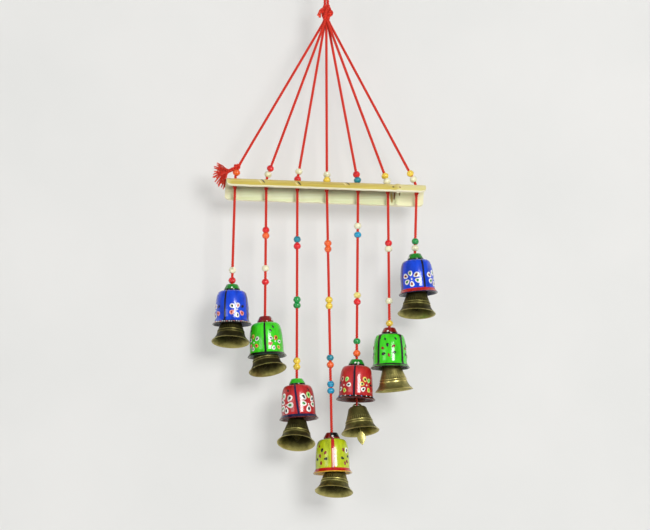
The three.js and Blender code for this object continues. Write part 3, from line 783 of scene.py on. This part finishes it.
ENAMELS = {
    "blue": (0, 0.26, 0.83), "lime": (0.23, 0.82, 0.08), "red": (0.73, 0.13, 0.14),
    "yellow": (0.72, 0.78, 0.09), "green": (0.07, 0.52, 0.12), "leaf": (0.22, 0.74, 0.14),
    "maroon": (0.52, 0.09, 0.06), "black": (0.05, 0.045, 0.05), "navy": (0.05, 0.07, 0.25),
    "scarlet": (0.74, 0.09, 0.07), "white": (0.94, 0.93, 0.9), "pink": (0.93, 0.62, 0.56),
    "mint": (0.72, 0.9, 0.55), "orange": (0.92, 0.5, 0.2), "straw": (0.9, 0.84, 0.4),
    "gold": (0.85, 0.66, 0.18), "sky": (0.45, 0.62, 0.92), "oxblood": (0.36, 0.06, 0.05),
    "bottle": (0.05, 0.22, 0.1),
}
CAP_PAINTS = {1: ("green", "black"), 2: ("maroon", "maroon"), 3: ("leaf", "black"),
              4: ("black", "maroon"), 5: ("green", "black"), 6: ("maroon", "black"),
              7: ("green", "bottle")}
CAP_DOTS = {1: [0, 120, -120], 2: [60, -100, 180], 3: [95, -80], 4: [6, -85, 95, 180],
            5: [-10, 14, 100, -100, 180], 6: [-14, 100, -120], 7: [75, -60, 180]}
HALF_PAINTED = 4  # this cap's left side has the colour of its foot
HALF_FROM = -1.5
CUP_VARNISH = 0.11
CUP_SHINE = 1.5

paints = {name: enamel(f"enamel_{name}", colour, CUP_VARNISH, CUP_SHINE, (1, 1, 0.35))
          for name, colour in ENAMELS.items()}
cup_frames = {}
for i in NUMBERS:
    roll = Matrix.Rotation(radians(-CUP_ROLL[i]), 4, "Y")
    cup_frames[i] = Matrix.Translation(pivots[f"cup_{i}_rock"]) @ roll
bm = bmesh.new()
bmesh.ops.create_uvsphere(bm, u_segments=14, v_segments=8, radius=1)
paint_drop = mesh_of(bm, "paint_drop")


def paint_dab(bm, radius_at, angle, height, size, turn, thick, index):
    """A drop of paint: a flat round dab, drawn to a point and wrapped on a turned surface."""
    verts = len(bm.verts)
    faces = len(bm.faces)
    bm.from_mesh(paint_drop)
    for vert in list(bm.verts)[verts:]:
        across = vert.co.x * (1 - 0.3 * vert.co.y) * size[0] / 2
        along = vert.co.y * size[1] / 2
        level = height + across * sin(turn) + along * cos(turn)
        side = across * cos(turn) - along * sin(turn)
        reach = radius_at(level) + vert.co.z * thick
        way = radians(angle) + side / radius_at(height)
        vert.co = (reach * sin(way), -reach * cos(way), level)
    for face in list(bm.faces)[faces:]:
        face.material_index = index


def cap_radius(level):
    return CAP_TOP_R + (CAP_R - CAP_TOP_R) * min(1, (-CAP_DOWN - level) / (CAP_H * CAP_FOOT))


for i in NUMBERS:
    bm = bmesh.new()
    spin_profile(bm, CAP_OUTLINE, CAP_SIDES)
    for face in bm.faces:
        middle = face.calc_center_median()
        low = middle.z < -CAP_H * CAP_FOOT
        aside = i == HALF_PAINTED and middle.x < HALF_FROM
        face.material_index = 1 if low or aside else 0
    for vert in bm.verts:
        vert.co.z -= CAP_DOWN
    for spot in CAP_DOTS[i]:
        paint_dab(bm, cap_radius, spot, -DOT_DOWN, CAP_DOT, CAP_DOT_TURN, CAP_DOT_T, 2)
    top_paint, foot_paint = CAP_PAINTS[i]
    cap_finishes = [paints[top_paint], paints[foot_paint], paints["white"]]
    piece(bm, f"wooden_cap_{i}", cap_finishes, f"cup_{i}", [f"cap_{i}"],
          cup_frames[i], sharp=28)


# Cups: bell-shaped cups turned in soft wood, hollow below, with a flared lip. They are painted by
# hand: one bright coat, four upright stripes that part it into panels, and bands round the lip.
CUP_TOP = -7.9  # below the end of the string
CUP_SIDES = 144
CUP_ROWS = 58
HOLLOW_ROWS = 30
CROWN_T = 4
LEAST_WALL = 0.9
CUP_OUTSIDE = [(8.6, 0), (11.9, -0.7), (14, -2.4), (15.5, -6.5), (16.3, -12), (16.8, -19),
               (17, -25.5), (17.05, -28.9), (17.6, -30.8), (18.7, -32.6), (19.5, -33.5),
               (19.7, -34)]
CUP_LIP = [(19.5, -34.3), (19, -34.4), (18.4, -34.1)]
CUP_INSIDE = [(16.8, -31.8), (15.2, -29.2), (14.9, -23.5), (14.2, -14), (13.2, -8.5),
              (11.2, -5.6), (8.5, -4.1)]
CUP_FIT = 0.994  # the turned shape is this share of the drawn one, and a little uneven
CUP_UNEVEN = 0.004
LIP_FROM = 28
LIP_WAVE = 0.3
LIP_FACE = 33.4
# Each cup's inside paint is its coat in a darker tone, painted shade for the hollow under the cup.
CUP_PAINT = {  # coat, inside, turn of the stripes, columns of paint in them, bands round the cup
    1: ("blue", "navy", -22.6, ("black", "black", "navy"), [(31.6, 36, "black")]),
    2: ("lime", "bottle", -3, ("black",) * 3, [(31, 33.2, "black"), (33.2, 36, "bottle")]),
    3: ("red", "oxblood", -4, ("navy",) * 3, [(30.8, 33.6, "navy"), (33.6, 36, "oxblood")]),
    # The fourth cup's stripe is scarlet, with pink and white columns down its middle that are a
    # painted highlight.
    4: ("yellow", "gold", 4, ("scarlet", "pink", "white", "pink", "scarlet"),
        [(29.7, 33.3, "scarlet"), (33.3, 36, "gold")]),
    5: ("red", "oxblood", -5.3, ("navy", "black", "black"),
        [(31, 33, "black"), (33, 36, "oxblood")]),
    6: ("lime", "bottle", -44.3, ("black",) * 4,
        [(0.3, 1.3, "black"), (31, 32.8, "black"), (33.6, 36, "black")]),
    7: ("blue", "navy", 24.4, ("navy", "black", "black"),
        [(30.2, 33.2, "scarlet"), (33.2, 36, "navy")]),
}
STRIPE_LEAN = {3: 0.35}  # degrees for each millimetre down
# Above this depth a stripe is all its first colour; below it the fourth cup's stripe has its
# painted highlight.
STRIPE_HIGHLIGHT_FROM = {4: 11}  # to this depth the stripe has one colour
STRIPE_ARCH = {6: 4}  # columns by which the stripe is wider at its top

cup_line = smooth_profile(CUP_OUTSIDE, CUP_ROWS)


def cup_radius(level):
    drop = level - CUP_TOP
    for (r0, z0), (r1, z1) in zip(cup_line, cup_line[1:]):
        if z1 <= drop:
            return r0 + (r1 - r0) * (drop - z0) / min(-1e-6, z1 - z0)
    return cup_line[-1][0]


def coat_at(i, column, drop):
    """The paint on the outside of a cup: bands first, then the stripe that this column is in."""
    body, _, _, pattern, bands = CUP_PAINT[i]
    for upper, lower, paint in bands:
        if upper < drop < lower:
            return paint
    foot = min(upper for upper, _, _ in bands if upper > 10)
    arch = STRIPE_ARCH.get(i, 0) * max(0, 1 - drop / 6) ** 2
    if not 0.3 < drop < foot or not -arch <= column < len(pattern) + arch:
        return body
    # Above the painted highlight's depth the stripe is one colour.
    if drop < STRIPE_HIGHLIGHT_FROM.get(i, 0):
        return pattern[0]
    return pattern[min(max(column, 0), len(pattern) - 1)]


for i in NUMBERS:
    body, inside, stripe, pattern, bands = CUP_PAINT[i]
    names = list(dict.fromkeys([body, inside, *pattern, *[paint for _, _, paint in bands]]))
    bm = bmesh.new()
    hollow = smooth_profile(CUP_INSIDE, HOLLOW_ROWS)
    spin_profile(bm, [(BORE_R, 0), *cup_line, *CUP_LIP, *hollow, (BORE_R, -CROWN_T)], CUP_SIDES)
    for face in bm.faces:
        middle = face.calc_center_median()
        drop = -middle.z
        way = degrees(atan2(middle.x, -middle.y))
        column = round(((way + 45) % 90 - 45) * CUP_SIDES / 360 + len(pattern) / 2 - 0.5)
        wall = cup_radius(CUP_TOP - drop) - middle.xy.length
        # Faces inside the hollow take the inside paint, a darker tone of the coat painted as shade.
        shaded_inner = CROWN_T - 0.1 < drop < LIP_FACE and wall > LEAST_WALL
        face.material_index = names.index(inside if shaded_inner else coat_at(i, column, drop))
    for vert in bm.verts:
        way = atan2(vert.co.x, -vert.co.y) + radians(stripe)
        lean = STRIPE_LEAN.get(i, 0) * (-vert.co.z - 15)
        way += radians(lean + 0.7 * noise((vert.co.z * 0.16, way * 1.2, i)))
        c = cos(way)
        s = sin(way)
        fit = CUP_FIT + CUP_UNEVEN * noise((c, s, vert.co.z * 0.05 + 7 * i))
        reach = vert.co.xy.length * fit
        wave = LIP_WAVE * abs(noise((2.2 * c, 2.2 * s, 5 * i))) if vert.co.z < -LIP_FROM else 0
        vert.co = (reach * s, -reach * c, vert.co.z + wave + CUP_TOP)
    cup_finishes = [paints[name] for name in names]
    piece(bm, f"wooden_cup_{i}", cup_finishes, f"cup_{i}", [f"cup_{i}"], cup_frames[i])


# Flowers: six dabs of thick paint round a dot on each panel, as this folk craft has them. Most dabs
# are white drops with a second, darker drop in the middle. Rows of dots run round some of the lips.
PETAL = (4.7, 5.9)
PETAL_EYE = (2.7, 3.8)
SMALL_PETAL = (2.7, 4)
FLOWER_DOT = (1.6, 1.6)
STRAY_DAB = (1.9, 3.2)
LIP_DOT = (1.3, 1.2)
DAB_T = 0.28
RIM_T = 0.24
EYE_T = 0.36
STRAY_T = 0.22
LIP_DOT_T = 0.26
FLOWER_DROP = 20.9
PANEL_R = 16.8
FLOWER_GROW = {1: 0.95, 2: 0.82, 3: 1.2, 4: 1, 5: 0.88, 6: 1, 7: 1.05}
FLOWERS = {  # middle; angle, drop and paint of each dab, and its rim's paint where that isn't white
    1: [(19.4, [(2.4, 17.6, "bottle"), (21.4, 16.9, "scarlet"), (39.4, 17.6, "black", ""),
                (1.4, 23.6, "scarlet", "pink"), (19.4, 26.4, "black"),
                (36.4, 24.2, "scarlet", "pink")])],
    2: [(32, [(17, 17.6, "bottle"), (35, 17.4, "black", "orange"), (49, 21, "black"),
              (14, 23.2, "scarlet", "pink"), (25, 27.2, "black"), (45, 26.6, "scarlet", "straw")]),
        (-47, [(-51, 14.9, "scarlet", "straw"), (-33, 17.6, "black"),
               (-36, 24.4, "maroon", "orange"), (-65, 17.9, "black"), (-52, 27.2, "black"),
               (-65, 23.9, "scarlet", "pink")])],
    3: [(38, [(20, 13.6, "black"), (41, 11.8, "green", "mint"), (57, 15.4, "black"),
              (58, 20.8, "green"), (38, 25.4, "black"), (19, 20.4, "green")]),
        (-45, [(-57, 11.9, "green"), (-30, 14.6, "black"), (-29, 21.4, "green"),
               (-45, 26.4, "black"), (-63, 23.7, "green"), (-64, 17.4, "black")])],
    4: [(48, [(43, 12.4, "maroon", ""), (60, 12.6, "black"), (37, 20.6, "black", ""),
              (58, 23.6, "maroon", ""), (66, 18.4, "black", ""), (47, 25.4, "maroon", "")]),
        (-42, [(-38, 12.2, "black", ""), (-25, 15.2, "maroon", ""), (-47, 17.9, "maroon", ""),
               (-23, 21.2, "black", ""), (-42, 24.9, "maroon", ""), (-62, 20.8, "black", "")])],
    5: [(38.7, [(31.7, 15.2, "black", "straw"), (48.7, 16.2, "leaf", "mint"),
                (20.7, 19.8, "bottle", "straw"), (25.7, 25, "black"), (47.7, 25.4, "leaf", "straw"),
                (60.7, 20.4, "black", "")]),
        (-46.3, [(-54.3, 14.4, "black", "pink"), (-34.3, 15.2, "leaf", "mint"),
                 (-26.3, 20.8, "black"), (-42.3, 26, "leaf", "straw"), (-62.3, 24.2, "black"),
                 (-68.3, 17.9, "black", "")])],
    6: [(-6.3, [(-26.3, 15.9, "maroon", ""), (-9.3, 12.8, "black", ""), (11.7, 14.2, "maroon", ""),
                (13.7, 20.4, "black", ""), (-4.3, 23, "maroon", ""), (-23.3, 21.6, "black", "")])],
    7: [(-20.6, [(-43.6, 17.4, "maroon"), (-24.6, 15, "green"), (-3.6, 17, "maroon"),
                 (0.4, 22.6, "green"), (-20.6, 25.8, "maroon"), (-38.6, 23.2, "green")])],
}
STRAY_DABS = {
    2: [(17, 9.9, "black"), (28, 5.8, "bottle"), (-65, 8.4, "black")],
    3: [(-38, 6.4, "black"), (44, 5.9, "oxblood")],
    4: [(-52, 7.9, "maroon")],
    6: [(21, 6.2, "black"), (-18, 6.6, "bottle")],
}
LIP_DOTS = {
    1: (32.7, 48, ("white", "pink", "white")),
    5: (31.6, 20, ("white", "sky", "white")),
}
DAB_PAINTS = ["white", "pink", "orange", "straw", "mint", "black", "bottle", "scarlet", "maroon",
              "green", "leaf", "oxblood", "sky"]

for i in NUMBERS:
    bm = bmesh.new()
    draw = random.Random(20 + i)
    panels = [(*flower, 0) for flower in FLOWERS[i]]
    panels += [(*FLOWERS[i][0], turn) for turn in (90, 180, 270)[:4 - len(FLOWERS[i])]]
    for centre, petals, turn in panels:
        small = sum("" in petal for petal in petals) > 2
        if not small:
            spot = (centre + turn, CUP_TOP - FLOWER_DROP)
            paint_dab(bm, cup_radius, *spot, FLOWER_DOT, 0, DAB_T, 0)
        for angle, drop, eye_paint, *rim in petals:
            rim_paint = rim[0] if rim else "white"
            side = radians(angle - centre) * PANEL_R
            spoke = atan2(side, drop - FLOWER_DROP) + draw.uniform(-0.2, 0.2)
            grow = FLOWER_GROW[i] * draw.uniform(0.92, 1.08)
            spot = (angle + turn, CUP_TOP - drop)
            if rim_paint:
                size = [grow * length for length in PETAL]
                paint_dab(bm, cup_radius, *spot, size, spoke, RIM_T, DAB_PAINTS.index(rim_paint))
            size = [grow * length for length in (PETAL_EYE if rim_paint else SMALL_PETAL)]
            thick = EYE_T if rim_paint else DAB_T
            paint_dab(bm, cup_radius, *spot, size, spoke, thick, DAB_PAINTS.index(eye_paint))
    for angle, drop, paint in STRAY_DABS.get(i, []):
        index = DAB_PAINTS.index(paint)
        paint_dab(bm, cup_radius, angle, CUP_TOP - drop, STRAY_DAB, 0.5, STRAY_T, index)
    drop, count, colours = LIP_DOTS.get(i, (0, 0, ()))
    for n in range(count):
        level = CUP_TOP - drop + draw.uniform(-0.25, 0.25)
        index = DAB_PAINTS.index(colours[n % len(colours)])
        paint_dab(bm, cup_radius, 360 * n / count, level, LIP_DOT, 0, LIP_DOT_T, index)
    dab_finishes = [paints[name] for name in DAB_PAINTS]
    piece(bm, f"flowers_{i}", dab_finishes, f"cup_{i}", place=cup_frames[i])
bpy.data.meshes.remove(paint_drop)


# Bell cords: below the cup's crown the cord is knotted, which carries the cup, and a thinner pair
# of its strands goes on down to a loop round the eye of the bell.
CORD_FROM = -4
INNER_KNOT = -14.9
LOOP_NECK = 4.5  # above the eye
BELL_CORD_D = 1.8
EYE_LOOP_R = 2.4
INNER_WINDING = (80, 2, 3, 1.5, 0.7, 1.7)
INNER_CORD_D = 2
for i in NUMBERS:
    eye = pivots[f"bell_{i}_swing"]
    knot = cup_frames[i] @ up(INNER_KNOT)
    loop = [eye + EYE_LOOP_R * Vector((0, sin(a / 3), cos(a / 3))) for a in range(19)]
    bm = bmesh.new()
    lay_cord(bm, smooth_line([cup_frames[i] @ up(CORD_FROM), knot], 8), CORD_D)
    lay_cord(bm, winding(knot, *INNER_WINDING), INNER_CORD_D)
    lay_cord(bm, smooth_line([knot, eye + up(LOOP_NECK), *loop], 60), BELL_CORD_D, 8, 2, 4.5)
    piece(bm, f"bell_cord_{i}_strands", [cotton], f"cup_{i}", [f"bell_cord_{i}"])


# Bells: thin cast brass, turned bright on the outside and left to darken. A ring goes through the
# crown, with the eye above and the clapper's staple below. Nicks and two ridges go round the waist.
BELL_LEAN = {1: 11, 2: 12.5, 3: 18.5, 4: 12, 5: 8, 6: -2.5, 7: 8}
BELL_ROLL = {1: -2, 2: 9.5, 3: -3, 4: -3.5, 5: 7, 6: 6, 7: -0.5}
BELL_CROWN = -3.7
BELL_H = 25.4
BELL_SIDES = 144
RIDGES = (14.6, 17.1)
RIM = 25.1
NICKS = 36
NICK_FROM = 10.4
NICK_TO = 13.4
NICK_DEPTH = 0.028
BELL_FIT = 0.995
BELL_UNEVEN = 0.003
EYE_R = 4.6
EYE_WIRE = 1.8
# Painted light for each bell: those the light misses are painted darker, as shade, and the sixth
# brighter, as a highlight.
BELL_PAINTED_LIGHT = {1: -0.32, 2: -0.22, 3: -0.12, 4: 0.02, 5: 0.08, 6: 0.36, 7: -0.2}
BELL_OUTSIDE = [(0.01, 0), (7.6, 0), (8, -0.1), (9.05, -1.15), (9.3, -1.7), (10.2, -5),
                (11.8, -9.8), (12.05, -10.4), (12.95, -13.2), (13.1, -13.7), (13.35, -14),
                (13.75, -14.4), (13.8, -14.8), (13.5, -15.3), (13.4, -15.8), (13.65, -16.2),
                (14.05, -16.6), (14.15, -17.1), (14.05, -17.6), (14.4, -18.6), (15.2, -20.3),
                (16.4, -22.2), (17.6, -23.6), (18.6, -24.6), (19, -24.95), (19.15, -25.2)]
BELL_INSIDE = [(19, -BELL_H), (18.5, -BELL_H), (17.3, -24.5), (15.7, -22.5), (14, -19.8),
               (12.7, -17), (11.9, -14), (10, -8), (7.7, -2.4), (6.9, -1.8), (0.01, -1.8)]


def antique_brass():
    finish, tree, skin = bare_finish("antique_brass")
    # The attribute holds rubbed wear together with painted light and shade.
    wear_and_light = node(tree, "Attribute", {}, "Fac", attribute_name="wear_and_light")
    fine = speckle(tree, 1100, 3)
    level = add_part(tree, fine, 0.3, add_part(tree, speckle(tree, 170, 5), 0.75, wear_and_light))
    share = spread(tree, level, -0.2, 1.4)
    tones = [(0.1, 0.15, 0.13, 0.06), (0.3, 0.27, 0.25, 0.13), (0.52, 0.45, 0.43, 0.23),
             (0.7, 0.63, 0.6, 0.35), (0.95, 0.82, 0.76, 0.46)]
    fill(skin, {
        "Base Color": ramp(tree, share, tones),
        "Normal": bump(tree, fine, 0.3, 0.0002),
        "Metallic": 0.9, "Roughness": spread(tree, share, 0.3, 0.95, 0.56, 0.3),
    })
    return finish


def bell_wear_and_light(drop, outer, painted_light):
    """How bright the brass is: rubbed on the ridges and the rim and a little on the crown, with
    each bell's painted light outside. Inside it is painted darker, as shade, with a painted glint
    towards the mouth.
    """
    # Inside: painted shade, brightening to a painted glint near the mouth.
    if not outer:
        return -0.3 + 0.8 * hump((drop - BELL_H) / 4.5)
    ridges = sum(0.5 * hump((drop - ridge) / 0.6) for ridge in RIDGES)
    return painted_light + ridges + 0.7 * hump((drop - RIM) / 0.7) + 0.2 * hump(drop / 1.2)


def wire_ring(bm, wire, start, axis, sides, steps):
    """A ring of round wire about an axis that is level with its start."""
    section = {"segments": sides, "radius": wire / 2, "matrix": Matrix.Translation(start)}
    ring = bmesh.ops.create_circle(bm, **section)["verts"]
    rim = dict.fromkeys(edge for vert in ring for edge in vert.link_edges)
    turn = {"cent": (0, 0, start[2]), "axis": axis, "angle": 2 * pi, "steps": steps}
    bmesh.ops.spin(bm, geom=[*ring, *rim], use_merge=True, **turn)


brass = antique_brass()
bell_frames = {}
for i in NUMBERS:
    roll = Matrix.Rotation(radians(-BELL_ROLL[i]), 4, "Y")
    lean = Matrix.Rotation(radians(-BELL_LEAN[i]), 4, "X")
    bell_frames[i] = Matrix.Translation(pivots[f"bell_{i}_swing"]) @ roll @ lean
    bm = bmesh.new()
    wear_and_light = bm.verts.layers.float.new("wear_and_light")
    spin_profile(bm, [*BELL_OUTSIDE, *smooth_profile(BELL_INSIDE, 34)], BELL_SIDES, closed=False)
    bmesh.ops.remove_doubles(bm, verts=[v for v in bm.verts if v.co.xy.length < 0.1], dist=0.1)
    limit = {round(z, 4): r for r, z in BELL_OUTSIDE}
    for vert in bm.verts:
        drop = -vert.co.z
        reach = vert.co.xy.length
        outer = abs(limit.get(round(vert.co.z, 4), -1) - reach) < 0.3
        # Rubbed wear, this bell's painted light, and the painted shade and glint inside.
        vert[wear_and_light] = bell_wear_and_light(drop, outer, BELL_PAINTED_LIGHT[i])
        if outer and NICK_FROM - 0.1 < drop < NICK_TO + 0.1:
            way = atan2(vert.co.y, vert.co.x)
            nick = max(0, cos(NICKS * way))
            vert.co.xy *= 1 - NICK_DEPTH * nick
            vert[wear_and_light] += 0.22 - 0.4 * nick
        vert.co.xy *= BELL_FIT + BELL_UNEVEN * noise(vert.co * 0.08 + up(9 * i))
        vert.co.z += BELL_CROWN
    wire_ring(bm, EYE_WIRE, (EYE_R, 0, -EYE_R), (0, 1, 0), 12, 40)
    bmesh.ops.remove_doubles(bm, verts=bm.verts, dist=1e-4)
    piece(bm, f"brass_bell_{i}", [brass], f"bell_{i}", [f"bell_{i}"], bell_frames[i])


# Clappers: a leaf of brass sheet on a wire stem, bent to a ring that hangs in the bell's staple.
# The leaf is beaten hollow and catches the wind. The fifth is long and shows below its bell.
CLAPPER_LENGTH = {1: 17, 2: 17, 3: 17, 4: 17, 5: 32.5, 6: 17, 7: 17}
CLAPPER_ROLL = {5: 8}
# Painted light: the fifth clapper, which hangs out below its bell, is painted bright; the rest,
# inside their bells, darker, as shade.
CLAPPER_PAINTED_LIGHT = {5: 0.45}
CLAPPER_WIRE = 1.2
CLAPPER_RING = 2.1
LEAF_H = 14
LEAF_T = 1.3
LEAF_EDGE = 0.22
LEAF_HOLLOW = 0.05
STEM_GRIP = 2.5  # how far the stem runs down the leaf
LEAF_SIDE = [(0.6, 0), (2.2, -1.1), (3.7, -3.4), (4.2, -6), (3.6, -8.8), (2, -11.6),
             (0.5, -13.6)]

for i in NUMBERS:
    leaf_top = -CLAPPER_LENGTH[i] + LEAF_H
    side = smooth_profile(LEAF_SIDE, 18)
    bm = bmesh.new()
    outline = [*side, (0, -LEAF_H), *[(-x, z) for x, z in reversed(side)]]
    leaf = bm.faces.new([bm.verts.new((x, -LEAF_T / 2, z + leaf_top)) for x, z in outline])
    draw_out(bm, leaf, (0, LEAF_T, 0))
    for thickness, depth in ((0.45, 0), (1, -0.12)):
        flats = [face for face in bm.faces if len(face.verts) > 6]
        bmesh.ops.inset_region(bm, faces=flats, thickness=thickness, depth=depth)
    edges = [edge for edge in bm.edges
             if len(edge.link_faces) == 2 and edge.calc_face_angle() > 1.2]
    rounding = {"offset": LEAF_EDGE, "segments": 2, "profile": 0.5, "affect": "EDGES"}
    bmesh.ops.bevel(bm, geom=edges, material=-1, **rounding)
    for vert in bm.verts:
        vert.co.y += LEAF_HOLLOW * vert.co.x ** 2 - 0.2
    wire_ring(bm, CLAPPER_WIRE, (0, CLAPPER_RING, 0), (1, 0, 0), 10, 28)
    stem = abs(leaf_top) + STEM_GRIP - CLAPPER_RING
    wire = {"segments": 10, "radius1": CLAPPER_WIRE / 2, "radius2": CLAPPER_WIRE / 2, "depth": stem}
    down = Matrix.Translation((0, 0, -CLAPPER_RING - stem / 2))
    bmesh.ops.create_cone(bm, matrix=down, cap_ends=True, **wire)
    wear_and_light = bm.verts.layers.float.new("wear_and_light")
    # Painted light and shade: bright for the fifth clapper, darker for the rest.
    for vert in bm.verts:
        vert[wear_and_light] = CLAPPER_PAINTED_LIGHT.get(i, -0.2)
    roll = Matrix.Rotation(radians(-CLAPPER_ROLL.get(i, 0)), 4, "Y")
    place = Matrix.Translation(pivots[f"clapper_{i}_swing"]) @ roll
    piece(bm, f"leaf_clapper_{i}", [brass], f"clapper_{i}", [f"clapper_{i}"], place)
